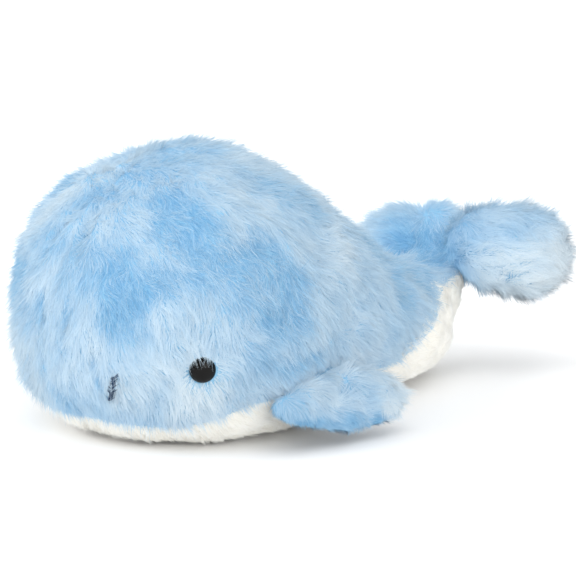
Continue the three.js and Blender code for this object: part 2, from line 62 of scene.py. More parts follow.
# The trunk's back, belly and seam as shares of TAIL_REACH and BODY_HEIGHT, and its widths as shares of BODY_RADIUS
BACK = [(0.23, 0.905), (0.44, 0.73), (0.6, 0.565), (0.75, 0.474), (0.875, 0.455), (0.965, 0.475), (1.02, 0.6)]
BELLY = [(0.23, -0.125), (0.45, -0.1), (0.648, -0.06), (0.82, -0.02), (0.935, 0.075), (1.02, 0.24), (1.06, 0.34)]
WIDTHS = [1, 1, 0.89, 0.73, 0.6, 0.47, 0.33, 0.23, 0.2]
SEAM = [(-0.6, 0.125), (-0.42, 0.11), (-0.27, 0.085), (-0.13, 0.17), (0, 0.19), (0.3, 0.175), (0.5, 0.15),
        (0.59, 0.184), (0.72, 0.263), (0.86, 0.34), (0.97, 0.39), (1.05, 0.43), (1.3, 0.45)]
SKIN, FLIPPER_SKIN = 1.4, 1.5  # how far the backing lies inside the cover's outer face
LOWEST_BACKING = 2.2  # above the floor, with the pile pressed flat under it
PILE_DENSITY, FLIPPER_DENSITY = 2.7, 2.8  # strands on a square millimetre
PILE_WIDTH = 0.29  # a strand's mean thickness at its root
BODY_PILE, BELLY_PILE, FLUKE_PILE, FLIPPER_PILE = 5.6, 3.6, 8, 7  # the strands' lengths before they are varied
BODY_TINT, BELLY_TINT, FLUKE_TINT, FLIPPER_TINT = 0.54, 0.5, 0.42, 0.56  # 0 is a pile's darkest, 1 its palest
BLUE_EDGE, TAIL_BLUE_EDGE = 1.3, 4.5  # how far above the belly seam the blue begins, and how much more on the tail
PIECE_STRANDS = 64000  # the most strands in one piece, below the export's limit of faces
CLUMP, WIDE_CLUMP = 1.9, 2.6  # the size of a tuft, and how many times wider the loose groups of tufts are
SWAY, SWAY_SCALE = 0.2, 6.5  # how far neighbouring strands bend aside together, and over what length
LOWEST_TIP = 0.25  # above the floor
ROUNDED = 0.5  # the share of a strand's own round form in its shading
SIGNS = {"left": -1, "right": 1}
HALF_PI = math.pi / 2
RNG = np.random.default_rng(20240611)
DENSITY = 1.0


def unit(v):
    return v / np.maximum(np.linalg.norm(v, axis=-1, keepdims=True), 1e-9)


def smooth(t):
    t = np.clip(t, 0, 1)
    return t * t * (3 - 2 * t)


def between(value, low, high):
    return smooth((value - low) / (high - low))


def linear(r, g, b):
    c = np.array([r, g, b]) / 255
    return tuple(np.where(c <= 0.04045, c / 12.92, ((c + 0.055) / 1.055) ** 2.4)) + (1.0,)


def spline(points, at):
    points = np.asarray(points, float)
    if points.ndim == 1:
        points = points[:, None]
    more = np.vstack([2 * points[0] - points[1], points, 2 * points[-1] - points[-2]])
    x = np.clip(at, 0, 1) * (len(points) - 1)
    i = np.minimum(np.floor(x).astype(int), len(points) - 2)
    w = (x - i)[:, None]
    a, b, c, d = more[i], more[i + 1], more[i + 2], more[i + 3]
    t1, t2 = (c - a) / 2, (d - b) / 2
    return b + t1 * w + (3 * c - 3 * b - 2 * t1 - t2) * w ** 2 + (2 * b - 2 * c + t1 + t2) * w ** 3


def waves(points, scale, seed, count=22):
    """Smooth noise of about unit spread, whose waves are about scale long."""
    rng = np.random.default_rng(seed)
    k = unit(rng.normal(size=(count, 3))) * 2 * math.pi / scale * rng.uniform(0.6, 1.5, (count, 1))
    return np.sin(points @ k.T + rng.uniform(0, 2 * math.pi, count)).sum(1) * math.sqrt(2 / count)


def wave_vectors(points, scale, seed):
    return np.stack([waves(points, scale, seed + i) for i in range(3)], 1)


# ---- forms ----
def trunk_line(shares, start):
    flat = [(-shares[0][0] * TAIL_REACH, shares[0][1] * BODY_HEIGHT), (0, start)]
    return np.array(flat + [(a * TAIL_REACH, u * BODY_HEIGHT) for a, u in shares])


BACK_LINE = trunk_line(BACK, BODY_LEVEL + BODY_CROWN)
BELLY_LINE = trunk_line(BELLY, BODY_LEVEL - BODY_DEPTH)


def soft_maximum(a, b, softness):
    mix = np.maximum(softness - np.abs(a - b), 0) / softness
    return np.maximum(a, b) + mix * mix * softness / 4


def trunk(share, angle, inset):
    """A point of the body and tail, as in the part's source."""
    step = share * STEPS
    ball = BODY_DEPTH / (BODY_DEPTH + BODY_CROWN)
    turn = HALF_PI * np.clip(step / HEAD_STEPS, 0, 1)
    along = -(BODY_RADIUS - inset) * np.cos(turn)
    head_top = np.stack([along, BODY_LEVEL + (BODY_CROWN - inset) * np.sin(turn)], -1)
    head_low = np.stack([along, BODY_LEVEL - (BODY_DEPTH - inset) * np.sin(turn)], -1)
    behind = np.clip((step - HEAD_STEPS) / (STEPS - END_STEPS - HEAD_STEPS), 0, 1)
    at = (1 + behind * 7) / 8
    top, low = spline(BACK_LINE, at), spline(BELLY_LINE, at)
    down = unit(low - top)
    closing = HALF_PI * np.clip(step - (STEPS - END_STEPS), 0, END_STEPS) / END_STEPS
    shrink = np.cos(closing)[:, None]
    middle = (top + low) / 2
    forward = np.stack([-down[:, 1], down[:, 0]], -1) * ((TAIL_END - inset) * np.sin(closing))[:, None]
    back_top = middle + (top + down * inset - middle) * shrink + forward
    back_low = middle + (low - down * inset - middle) * shrink + forward
    width = (spline(WIDTHS, at)[:, 0] * BODY_RADIUS - inset) * shrink[:, 0]
    head = step <= HEAD_STEPS
    t = np.where(head[:, None], head_top, back_top)
    b = np.where(head[:, None], head_low, back_low)
    width = np.where(head, (BODY_RADIUS - inset) * np.sin(turn), width)
    share_up = np.where(head, ball, ball + (0.5 - ball) * smooth(behind / 0.5))
    roll = np.where(head, 0, TAIL_ROLL * smooth((behind - 0.45) / 0.5))
    middle = b + (t - b) * share_up[:, None]
    up, side = np.cos(angle), -width * np.sin(angle)
    rise = (np.where((up > 0)[:, None], t, b) - middle) * np.abs(up)[:, None]
    upward = unit(t - b)
    flat = middle + rise + upward * (-side * np.sin(roll))[:, None]
    height = np.sign(up) * np.linalg.norm(rise, axis=1)
    y = side * np.cos(roll) + height * np.sin(roll)
    raised = smooth((middle[:, 0] - (TAIL_HINGE[0] - TAIL_ROOT)) / TAIL_ROOT)
    z = soft_maximum(flat[:, 1], inset - 0.5 + 1.5 * raised, BELLY_SOFT)
    return np.stack([flat[:, 0], y, z], -1)


def seam_height(x):
    a = np.array(SEAM)
    return np.interp(x, a[:, 0] * TAIL_REACH, a[:, 1] * BODY_HEIGHT)


class Lobe:
    """A puffy paddle, as in the part's source: a fluke or a flipper."""

    def __init__(self, origin, chord, out, through, middle, inner, outer, half_chord, half_thick, sweep, full, span):
        self.origin, self.axes = origin, np.stack([chord, out, through])
        self.middle, self.inner, self.outer = middle, inner, outer
        self.chord, self.thick, self.sweep, self.full, self.span = half_chord, half_thick, sweep, full, span

    def point(self, share, angle, inset):
        turn = math.pi * share
        length = np.where(turn < HALF_PI, self.inner, self.outer) - inset
        out = self.middle - length * np.cos(turn)
        swell = np.maximum(np.sin(turn), 0) ** self.full
        swept = self.sweep * np.maximum(out, 0) ** 2 / self.span ** 2
        local = np.stack([swept + (self.chord - inset) * swell * np.cos(angle), out,
                          (self.thick - inset) * swell * np.sin(angle)], -1)
        return self.origin + local @ self.axes

    def local(self, p):
        return (p - self.origin) @ self.axes.T

    def inside(self, p, inset):
        q = self.local(p)
        length = np.where(q[:, 1] < self.middle, self.inner, self.outer) - inset
        c = np.clip((self.middle - q[:, 1]) / length, -1, 1)
        swell = np.maximum(np.sqrt(1 - c * c), 1e-6) ** self.full
        swept = self.sweep * np.maximum(q[:, 1], 0) ** 2 / self.span ** 2
        a = (q[:, 0] - swept) / ((self.chord - inset) * swell)
        b = q[:, 2] / ((self.thick - inset) * swell)
        return (a * a + b * b < 1) & (np.abs(q[:, 1] - self.middle) < length)


def fluke(side):
    """A fluke, which droops toward the rear and lies rolled with the tail."""
    droop = math.radians(20)
    chord = np.array([math.cos(droop), 0, -math.sin(droop)])
    upright = np.array([math.sin(droop), 0, math.cos(droop)])
    out = np.array([0, side, 0]) * math.cos(TAIL_ROLL) - side * math.sin(TAIL_ROLL) * upright
    return Lobe(np.array([193.0, 0, 61]), chord, out, np.cross(chord, out), middle=42.5, inner=38, outer=20.5,
                half_chord=25.5, half_thick=22, sweep=7, full=0.75, span=63)


def flipper(side):
    """A flipper's paddle, the root of its hinge on the body, and the way it hangs."""
    rise, hang, sweep = math.radians(10), math.radians(14), math.radians(19)
    along = np.array([math.cos(rise), 0, math.sin(rise)])
    down = np.array([0, side * math.sin(hang), -math.cos(hang)])
    down = unit(down - along * down.dot(along))
    drop = (FLIPPER_LEVEL - BODY_LEVEL) / BODY_DEPTH
    wide = math.sqrt((BODY_RADIUS * math.sqrt(1 - drop ** 2)) ** 2 - 4) + 1.2
    origin = np.array([2, side * wide, FLIPPER_LEVEL])
    length = along * math.cos(sweep) + down * math.sin(sweep)
    width = -along * math.sin(sweep) + down * math.cos(sweep)
    paddle = Lobe(origin + along * 13 + down * 12, width, length, np.cross(width, length), middle=0, inner=41,
                  outer=41, half_chord=18, half_thick=7.5, sweep=0, full=1, span=41)
    return paddle, origin, down


def eye_place(side):
    """The middle of an eye on the body's round side, and the way it faces."""
    turn = math.radians(52.6)
    drop = (EYE_LEVEL - BODY_LEVEL) / BODY_DEPTH
    wide = BODY_RADIUS * math.sqrt(1 - drop ** 2)
    p = np.array([-wide * math.cos(turn), side * wide * math.sin(turn), EYE_LEVEL])
    facing = np.array([p[0] / BODY_RADIUS ** 2, p[1] / BODY_RADIUS ** 2, (EYE_LEVEL - BODY_LEVEL) / BODY_DEPTH ** 2])
    return p, unit(facing)


FLUKES = {side: fluke(sign) for side, sign in SIGNS.items()}
FLIPPERS = {side: flipper(sign) for side, sign in SIGNS.items()}
EYES = {side: eye_place(sign) for side, sign in SIGNS.items()}


# ---- meshes ----
def tube_grid(place, steps, sides):
    """A closed surface made of rings between two poles."""
    share = np.repeat(np.arange(1, steps) / steps, sides)
    angle = np.tile(2 * math.pi * np.arange(sides) / sides, steps - 1)
    ends = place(np.array([0.0, 1.0]), np.array([0.0, 0.0]))
    points = np.vstack([ends[:1], place(share, angle), ends[1:]])
    i, j = np.meshgrid(np.arange(steps - 2), np.arange(sides), indexing="ij")
    at = lambda a, b: 1 + a * sides + b % sides
    quads = [(at(i, j), at(i, j + 1), at(i + 1, j + 1)), (at(i, j), at(i + 1, j + 1), at(i + 1, j))]
    faces = [np.stack([c.ravel() for c in q], 1) for q in quads]
    k = np.arange(sides)
    faces.append(np.stack([np.zeros_like(k), at(0, k + 1), at(0, k)], 1))
    faces.append(np.stack([at(steps - 2, k), at(steps - 2, k + 1), np.full_like(k, len(points) - 1)], 1))
    faces = np.vstack(faces)
    tri = points[faces]
    volume = np.einsum("ij,ij->i", tri[:, 0], np.cross(tri[:, 1], tri[:, 2])).sum()
    return points, faces if volume > 0 else faces[:, ::-1]


def point_normals(points, faces):
    tri = points[faces]
    n = np.cross(tri[:, 1] - tri[:, 0], tri[:, 2] - tri[:, 0])
    out = np.zeros_like(points)
    for k in range(3):
        np.add.at(out, faces[:, k], n)
    return unit(out)


def cut(points, faces, value, normals):
    """Cuts a mesh where value is zero. Returns its points, its normals, and the faces above and below."""
    over = value[faces] >= 0
    count = over.sum(1)
    above, below = [faces[count == 3]], [faces[count == 0]]
    mixed, high = faces[(count == 1) | (count == 2)], over[(count == 1) | (count == 2)]
    lone_high = high.sum(1) == 1
    lone = np.argmax(high == lone_high[:, None], axis=1)
    rows = np.arange(len(mixed))
    a, b, c = mixed[rows, lone], mixed[rows, (lone + 1) % 3], mixed[rows, (lone + 2) % 3]
    pairs = np.vstack([np.sort(np.stack([a, b], 1), 1), np.sort(np.stack([a, c], 1), 1)])
    edges, index = np.unique(pairs, axis=0, return_inverse=True)
    index = index.ravel() + len(points)
    f = (value[edges[:, 0]] / (value[edges[:, 0]] - value[edges[:, 1]]))[:, None]
    new = points[edges[:, 0]] * (1 - f) + points[edges[:, 1]] * f
    new_n = unit(normals[edges[:, 0]] * (1 - f) + normals[edges[:, 1]] * f)
    p, q = index[:len(mixed)], index[len(mixed):]
    tip = np.stack([a, p, q], 1)
    rest = np.vstack([np.stack([p, b, c], 1), np.stack([p, c, q], 1)])
    twice = np.concatenate([lone_high, lone_high])
    above += [tip[lone_high], rest[~twice]]
    below += [tip[~lone_high], rest[twice]]
    return np.vstack([points, new]), np.vstack([normals, new_n]), np.vstack(above), np.vstack(below)


def tidy(points, faces, normals):
    """The same faces with only the points that they use."""
    used, index = np.unique(faces, return_inverse=True)
    return points[used], index.reshape(faces.shape), normals[used]


def capped(rings, sides):
    """The faces of a closed form: rings of points, between a first and a last point."""
    k = np.arange(sides)
    j = (k + 1) % sides
    faces = [np.stack([np.zeros_like(k), 1 + j, 1 + k], 1)]
    for i in range(rings - 1):
        a, b = 1 + i * sides, 1 + (i + 1) * sides
        faces += [np.stack([a + k, a + j, b + j], 1), np.stack([a + k, b + j, b + k], 1)]
    last = 1 + (rings - 1) * sides
    faces.append(np.stack([last + k, last + j, np.full_like(k, last + sides)], 1))
    return np.vstack(faces)


def make_faces(name, points, faces, material, normals=None, uv=None):
    """An object made of triangles, from points in millimetres in the source frame."""
    mesh = bpy.data.meshes.new(name)
    corners = faces.ravel()
    mesh.vertices.add(len(points))
    mesh.vertices.foreach_set("co", ((points + PLACE) * MM).astype(np.float32).ravel())
    mesh.loops.add(len(corners))
    mesh.loops.foreach_set("vertex_index", corners.astype(np.int32))
    mesh.polygons.add(len(faces))
    mesh.polygons.foreach_set("loop_start", (np.arange(len(faces)) * 3).astype(np.int32))
    mesh.update(calc_edges=True)
    mesh.polygons.foreach_set("use_smooth", np.ones(len(faces), bool))
    if uv is not None:
        layer = mesh.uv_layers.new(name="OFBake")
        layer.data.foreach_set("uv", uv[corners].astype(np.float32).ravel())
    mesh.validate()
    if normals is not None:
        mesh.normals_split_custom_set_from_vertices(normals.astype(np.float32))
    mesh.materials.append(material)
    piece = bpy.data.objects.new(name, mesh)
    bpy.context.scene.collection.objects.link(piece)
    return piece


# ---- materials ----
def new_material(name):
    material = bpy.data.materials.new(name)
    material.use_nodes = True
    nodes, links = material.node_tree.nodes, material.node_tree.links
    return material, nodes, links, nodes["Principled BSDF"]


def set_inputs(node, **values):
    """Sets a node's inputs by their names, with _ for a space."""
    for name, value in values.items():
        node.inputs[name.replace("_", " ")].default_value = value
    return node


def ramp(nodes, stops):
    node = nodes.new("ShaderNodeValToRGB")
    while len(node.color_ramp.elements) < len(stops):
        node.color_ramp.elements.new(0.5)
    for element, (at, colour) in zip(node.color_ramp.elements, stops):
        element.position = at
        element.color = linear(*colour)
    return node


def texture(nodes, links, kind, output, **inputs):
    """A texture in the object's own coordinates. Returns the socket of its value."""
    coordinates = nodes.new("ShaderNodeTexCoord")
    node = set_inputs(nodes.new(kind), **inputs)
    links.new(coordinates.outputs["Object"], node.inputs["Vector"])
    return node.outputs[output]


def toned(nodes, links, shader, value, stops):
    tone = ramp(nodes, stops)
    links.new(value, tone.inputs[0])
    links.new(tone.outputs[0], shader.inputs["Base Color"])


def bumped(nodes, links, shader, height, strength, distance):
    bump = set_inputs(nodes.new("ShaderNodeBump"), Strength=strength, Distance=distance)
    links.new(height, bump.inputs["Height"])
    links.new(bump.outputs["Normal"], shader.inputs["Normal"])


def pile_material(name, dark, light):
    """A pile: across the map a strand's tint goes from dark to light, and along it from its root to its tip."""
    material, nodes, links, shader = new_material(name)
    places = nodes.new("ShaderNodeUVMap")
    places.uv_map = "OFBake"
    apart = nodes.new("ShaderNodeSeparateXYZ")
    links.new(places.outputs["UV"], apart.inputs[0])
    low, high = ramp(nodes, dark), ramp(nodes, light)
    mix = nodes.new("ShaderNodeMix")
    mix.data_type = "RGBA"
    links.new(apart.outputs["Y"], low.inputs[0])
    links.new(apart.outputs["Y"], high.inputs[0])
    links.new(apart.outputs["X"], mix.inputs["Factor"])
    links.new(low.outputs[0], mix.inputs["A"])
    links.new(high.outputs[0], mix.inputs["B"])
    links.new(mix.outputs["Result"], shader.inputs["Base Color"])
    set_inputs(shader, Roughness=0.85, Specular_IOR_Level=0.1, Sheen_Weight=0.08, Sheen_Roughness=0.5)
    return material


def backing_material(name, dark, light):
    """The knitted backing that the pile stands on, with fine loops and a soft change of colour."""
    material, nodes, links, shader = new_material(name)
    patches = texture(nodes, links, "ShaderNodeTexNoise", "Fac", Scale=45, Detail=4)
    toned(nodes, links, shader, patches, [(0.35, dark), (0.65, light)])
    knit = texture(nodes, links, "ShaderNodeTexVoronoi", "Distance", Scale=1100)
    bumped(nodes, links, shader, knit, 0.5, 0.0004)
    set_inputs(shader, Roughness=0.95, Specular_IOR_Level=0.1)
    return material


# Colours from a strand's root to its tip, where the pile is darkest and where it is lightest. The darker roots are
# painted shade deep in the pile, where the strands cast no shadow.
BLUE_DARK = [(0.0, (102, 162, 204)), (0.5, (125, 180, 217)), (1.0, (166, 206, 233))]
BLUE_LIGHT = [(0.0, (212, 226, 234)), (0.5, (221, 232, 238)), (1.0, (231, 239, 243))]
CREAM_DARK = [(0.0, (247, 244, 234)), (0.5, (251, 249, 241)), (1.0, (253, 252, 247))]
CREAM_LIGHT = [(0.0, (251, 249, 242)), (0.5, (254, 253, 248)), (1.0, (255, 255, 251))]
blue_pile = pile_material("blue_pile", BLUE_DARK, BLUE_LIGHT)
cream_pile = pile_material("cream_pile", CREAM_DARK, CREAM_LIGHT)
blue_backing = backing_material("blue_backing", (126, 176, 211), (146, 194, 223))
cream_backing = backing_material("cream_backing", (238, 235, 226), (246, 244, 238))


def distance_from(p, place):
    """How far points are from a place that both sides of the whale have."""
    return np.linalg.norm(p * [1, 0, 1] + np.abs(p) * [0, 1, 0] - place, axis=1)


# Creases of the cover: each goes from one point to another, with its reach and depth.
CREASES = [((-58, -5, 106), (-72, -10, 88), 2.2, 1.3), ((-79, -9, 74), (-81, -8, 50), 2.0, 1.1),
           ((-77, -22, 45), (-75, -24, 34), 2.4, 0.7), ((95, -47, 62), (99, -42, 46), 3, 0.5),
           ((-22, -81, 38), (30, -77, 50), 5, 0.7)]


def creased(p):
    """How near a point is to a crease of the cover, from 0 to its depth. The right side has the same creases."""
    out = np.zeros(len(p))
    q = p * [1, 0, 1] - np.abs(p) * [0, 1, 0]
    for a, b, reach, depth in CREASES:
        a, b = np.array(a, float), np.array(b, float)
        t = np.clip((q - a) @ (b - a) / ((b - a) @ (b - a)), 0, 1)
        d = np.linalg.norm(q - a - t[:, None] * (b - a), axis=1)
        out = np.maximum(out, depth * np.exp(-(d / reach) ** 2))
    return out


# Fuller places of the stuffing, with reach and height: the forehead and its right side, the tail's end, and the
# flukes' front edges
SWELLS = [((-68, 0, 92), 42, 4.2), ((-46, 48, 106), 34, 3.6), ((176, 0, 80), 17, 9.5),
          ((176, -26, 78), 17, 10.0), ((180, 24, 74), 18, 6.0)]
CREASE_DEPTH, GROOVE_DEPTH, DIMPLE_DEPTH = 3.2, 0.4, 2.1


# ---- the skins ----
def dents(p):
    """How far the stuffed cover stands out of its even form, or lies in it, in millimetres."""
    out = 0.9 * waves(p, 46, 11) + 0.5 * waves(p, 22, 12)
    groove = np.exp(-(p[:, 1] / 3.2) ** 2) * between(p[:, 2], 25, 60) * between(-p[:, 0], -60, -20)
    dimple = np.zeros(len(p))
    for centre, _ in EYES.values():
        e = np.linalg.norm(p - centre, axis=1)
        dimple += DIMPLE_DEPTH * np.exp(-(np.maximum(e - 5, 0) / 5) ** 2)
    even = 0.35 + 0.65 * between(p[:, 2], 8, 30)
    for centre, reach, height in SWELLS:
        out = out + height * np.exp(-(np.linalg.norm(p - centre, axis=1) / reach) ** 2)
    return out * even - GROOVE_DEPTH * groove - CREASE_DEPTH * creased(p) - dimple


def skin(place, steps, sides, bumps=1.0):
    points, faces = tube_grid(place, steps, sides)
    normals = point_normals(points, faces)
    points = points + normals * (bumps * dents(points))[:, None]
    points[:, 2] = np.maximum(points[:, 2], LOWEST_BACKING)
    return points, faces, point_normals(points, faces)


trunk_points, trunk_faces, trunk_normals = skin(lambda s, a: trunk(s, a, SKIN), 230, 200)
TRUNK_TREE = BVHTree.FromPolygons(trunk_points.tolist(), trunk_faces.tolist())


def inside_trunk(p, depth):
    """Which points lie deeper in the trunk than depth."""
    found = np.zeros(len(p), bool)
    for i, q in enumerate(p.tolist()):
        place, normal, _, distance = TRUNK_TREE.find_nearest(q)
        inward = (Vector(q) - place).dot(normal) < 0
        found[i] = inward and distance > depth
    return found


# Where the soft bends of the flukes and flippers begin and end, from their roots outward
FLUKE_BEND, FLIPPER_BEND = (10, 34), (-3, 8)


def attach(piece, near, far, start, end):
    """Rides on one body if the whole piece is on its side of the joint, and else stays unparented, with its
    placement applied to its points.
    """
    s, e = (np.array(start) + PLACE) * MM, (np.array(end) + PLACE) * MM
    co = np.zeros(len(piece.data.vertices) * 3, np.float32)
    piece.data.vertices.foreach_get("co", co)
    t = (co.reshape(-1, 3) - s) @ (e - s) / ((e - s) @ (e - s))
    if t.max() <= 0:
        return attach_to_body(piece, near)
    if t.min() >= 1:
        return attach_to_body(piece, far)
    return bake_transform(piece)


def on_trunk(piece):
    low, high = TAIL_HINGE - [TAIL_ROOT, 0, 0], TAIL_HINGE + [TAIL_ROOT, 0, 0]
    return attach(piece, "body", "tail", low, high)


def on_fluke(piece, side):
    lobe = FLUKES[side]
    out = lobe.axes[1]
    near, far = FLUKE_BEND
    return attach(piece, "tail", f"fluke_{side}", lobe.origin + out * near, lobe.origin + out * far)


def on_flipper(piece, side):
    _, origin, down = FLIPPERS[side]
    near, far = FLIPPER_BEND
    return attach(piece, "body", f"flipper_{side}", origin + down * near, origin + down * far)


# The trunk's cover in three panels, cut along the belly seam and the back seam
over_seam = trunk_points[:, 2] - seam_height(trunk_points[:, 0])
p, n, upper, lower = cut(trunk_points, trunk_faces, over_seam, trunk_normals)
belly_points, belly_faces, belly_normals = tidy(p, lower, n)
p, n, right_faces, left_faces = cut(p, upper, p[:, 1], n)
for name, faces in (("left", left_faces), ("right", right_faces)):
    points, kept, normals = tidy(p, faces, n)
    coat = make_faces(f"{name}_coat", points, kept, blue_backing, normals=normals)
    on_trunk(coat)
    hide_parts(f"{name}_side_panel", f"tail_{name}_panel")
coat = make_faces("belly_coat", belly_points, belly_faces, cream_backing, normals=belly_normals)
on_trunk(coat)
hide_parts("belly_panel", "tail_underside_panel", "body_fill", "tail_fill")


def trimmed(lobe, p):
    """A flipper's upper front edge runs straight down to its front corner."""
    q = lobe.local(p)
    front = between(-q[:, 1], -5, 41)
    q[:, 0] = q[:, 0] * (1 - np.where(q[:, 0] < 0, 0.25 + 0.3 * front, 0.45 * front)) + 6.5 * front
    return lobe.origin + q @ lobe.axes


def lobe_skin(kind, side):
    """A fluke's or flipper's skin, and how far its points lie on the upper or outer side."""
    if kind == "fluke":
        lobe = FLUKES[side]
        points, faces, normals = skin(lambda s, a: lobe.point(s, a, SKIN), 60, 72, 0.5)
        facing = lobe.axes[2][2]
    else:
        lobe = FLIPPERS[side][0]
        points, faces, normals = skin(lambda s, a: trimmed(lobe, lobe.point(s, a, FLIPPER_SKIN)), 60, 64, 0.5)
        facing = lobe.axes[2][1] * SIGNS[side]
    return points, faces, normals, lobe.local(points)[:, 2] * np.sign(facing)


lobe_skins = {}
for side in ("left", "right"):
    for kind in ("fluke", "flipper"):
        points, faces, normals, height = lobe_skin(kind, side)
        lobe_skins[kind, side] = (points, faces, normals)
        p, n, top, under = cut(points, faces, height, normals)
        for part, chosen in (("top", top), ("underside", under)):
            points, kept, normals = tidy(p, chosen, n)
            cream = kind == "fluke" and part == "underside"
            coat = make_faces(f"{kind}_{side}_{part}_coat", points, kept, blue_backing, normals=normals)
            (on_fluke if kind == "fluke" else on_flipper)(coat, side)
            covered = [f"{kind}_{side}_{part}_panel"] + ([f"{kind}_{side}_fill"] if part == "underside" else [])
            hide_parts(*covered)


# ---- the pile ----
def roots_on(points, faces, normals, density, rng):
    """Random places on a mesh, with their normals."""
    tri = points[faces]
    area = np.linalg.norm(np.cross(tri[:, 1] - tri[:, 0], tri[:, 2] - tri[:, 0]), axis=1) / 2
    count = np.floor(area * density * DENSITY + rng.random(len(area))).astype(int)
    which = np.repeat(np.arange(len(faces)), count)
    a, b = rng.random((2, len(which), 1))
    turn = a + b > 1
    a, b = np.where(turn, 1 - a, a), np.where(turn, 1 - b, b)
    corner = faces[which]
    mix = lambda v: v[corner[:, 0]] * (1 - a - b) + v[corner[:, 1]] * a + v[corner[:, 2]] * b
    return mix(points), unit(mix(normals))


def nearest(points, centres):
    tree = KDTree(len(centres))
    for i, c in enumerate(centres.tolist()):
        tree.insert(c, i)
    tree.balance()
    return np.array([tree.find(q)[1] for q in points.tolist()])


def grow(name, root, normal, flow, length, lift, tint, width, material, holder, rng, seed,
         hold=0.34, curl=0.16, skyward=0.45):
    """Makes strands as slim three-sided spikes. Neighbours lean to the tip of their clump's own strand.

    hold is how strongly they lean, curl how much each bends by itself, and skyward how far their shading is
    turned up, for the light that real fibres scatter among themselves.
    """
    count = len(root)
    flow = unit(flow - normal * (flow * normal).sum(1, keepdims=True))
    sway = SWAY * wave_vectors(root, SWAY_SCALE, 100 + seed)
    sway = sway + np.reshape(curl, (-1, 1)) * rng.normal(size=(count, 3))
    rise, reach = 0.7 * np.sin(lift)[:, None], np.cos(lift)[:, None] + 0.25
    tip = root + length[:, None] * (normal * rise + flow * reach + [0, 0, -0.08] + sway)
    hold = np.broadcast_to(hold, count)
    for size, pull in ((CLUMP, hold), (CLUMP * WIDE_CLUMP, hold * 0.45)):
        chosen = rng.random(count) < min(1, 1 / (size * size * 1.2 * DENSITY))
        if chosen.sum() > 10:
            middle = np.nonzero(chosen)[0]
            own = middle[nearest(root, root[middle])]
            strength = pull[own] * (0.55 + 0.45 * rng.random(count))[own] * (0.8 + 0.2 * rng.random(count))
            aim = tip[own] + (root - root[own]) * 0.3
            tip = tip + (aim - tip) * strength[:, None]
    tip[:, 2] = np.maximum(tip[:, 2], LOWEST_TIP + 0.5 * rng.random(count))
    along = unit(tip - root)
    x = unit(np.cross(along, normal))
    y = np.cross(along, x)
    angle = (rng.random(count)[:, None] + np.arange(3) / 3)[:, :, None] * 2 * math.pi
    ring = np.cos(angle) * x[:, None] + np.sin(angle) * y[:, None]
    points = np.concatenate([root[:, None] + ring * width[:, None, None] / 2, tip[:, None]], 1)
    # Strands that look down are shaded as if they looked down less
    soft = unit(normal * np.where(normal[:, 2:] < 0, [[1, 1, 0.4]], 1) + [0, 0, skyward])[:, None]
    shade = np.concatenate([unit((1 - ROUNDED) * soft + ROUNDED * ring), soft], 1)
    u = np.clip(tint + 0.05 * rng.normal(size=count), 0.02, 0.98)[:, None]
    uv = np.stack([u + [-0.008, 0.008, 0, 0], np.broadcast_to([0.01, 0.01, 0.01, 0.99], (count, 4))], 2)
    spike = np.array([[0, 1, 3], [1, 2, 3], [2, 0, 3]])
    parts = max(1, math.ceil(count / PIECE_STRANDS))
    order = np.argsort(root[:, 0], kind="stable")
    for k, some in enumerate(np.array_split(order, parts)):
        faces = (spike[None] + 4 * np.arange(len(some))[:, None, None]).reshape(-1, 3)
        piece = make_faces(f"{name}_{k + 1}" if parts > 1 else name, points[some].reshape(-1, 3), faces, material,
                           normals=shade[some].reshape(-1, 3), uv=uv[some].reshape(-1, 2))
        piece.visible_shadow = False
        holder(piece)


def from_eyes(p):
    """For each point, how far it is from the nearest eye, and which way, on the surface."""
    best, way = np.full(len(p), 1e9), np.zeros((len(p), 3))
    for centre, _ in EYES.values():
        d = p - centre
        r = np.linalg.norm(d, axis=1)
        near = r < best
        best[near], way[near] = r[near], (d / np.maximum(r, 1e-6)[:, None])[near]
    return best, way


# Places where the pile is brushed the wrong way, and where its tint is darkened as painted shade of the brushed
# pile: x, y without its sign, z, reach, strength.
TOUSLED = [(-67, 38, 75, 18, 1.0), (-43, 40, 106, 17, 0.9), (-40, 59, 88, 19, 0.85), (-22, 68, 84, 20, 0.8),
           (-15, 78, 62, 17, 0.8), (28, 50, 107, 13, 0.5), (100, 42, 58, 17, 0.45), (-74, 14, 88, 14, 0.45),
           (174, 6, 62, 18, 1.0)]


def tousled(p):
    """How tousled the pile is, from 0 to 1: at the listed places, and a little by chance elsewhere."""
    warp = p + 3.5 * wave_vectors(p, 26, 81)
    out = 0.5 * between(waves(p, 60, 91), 0.5, 1.8)
    for x, y, z, reach, strength in TOUSLED:
        d = distance_from(warp, [x, y, z])
        out = np.maximum(out, strength * (1 - between(d, reach * 0.55, reach * 1.35)))
    return out


def mixed_lift(count, low, spread, rng, fuzz=0.27, high=50):
    """Most strands lie low, and a few stand up as fuzz."""
    lift = low + spread * rng.normal(size=count)
    stands = rng.random(count) < fuzz
    return np.radians(np.where(stands, high + 9 * rng.normal(size=count), lift)), stands


def uneven(count, wide=1.0):
    """Strands' widths, each a little different."""
    return PILE_WIDTH * wide * RNG.uniform(0.75, 1.25, count)


# Where strands may root on the trunk, and on which side of the colours' boundary
root, normal = roots_on(trunk_points, trunk_faces, trunk_normals, PILE_DENSITY, RNG)
raised = TAIL_BLUE_EDGE * between(root[:, 0], 80, 110) * (1 - between(root[:, 0], 150, 170))
gap = root[:, 2] - seam_height(root[:, 0]) - BLUE_EDGE - raised
gap = gap + (0.5 + 1.0 * between(root[:, 0], 70, 110)) * RNG.normal(size=len(gap))
hidden = FLUKES["left"].inside(root, SKIN + 1.5) | FLUKES["right"].inside(root, SKIN + 1.5)
blue = (gap > 0) & ~hidden
cream = (gap <= 0) & ~hidden
far_eye, from_eye = from_eyes(root)


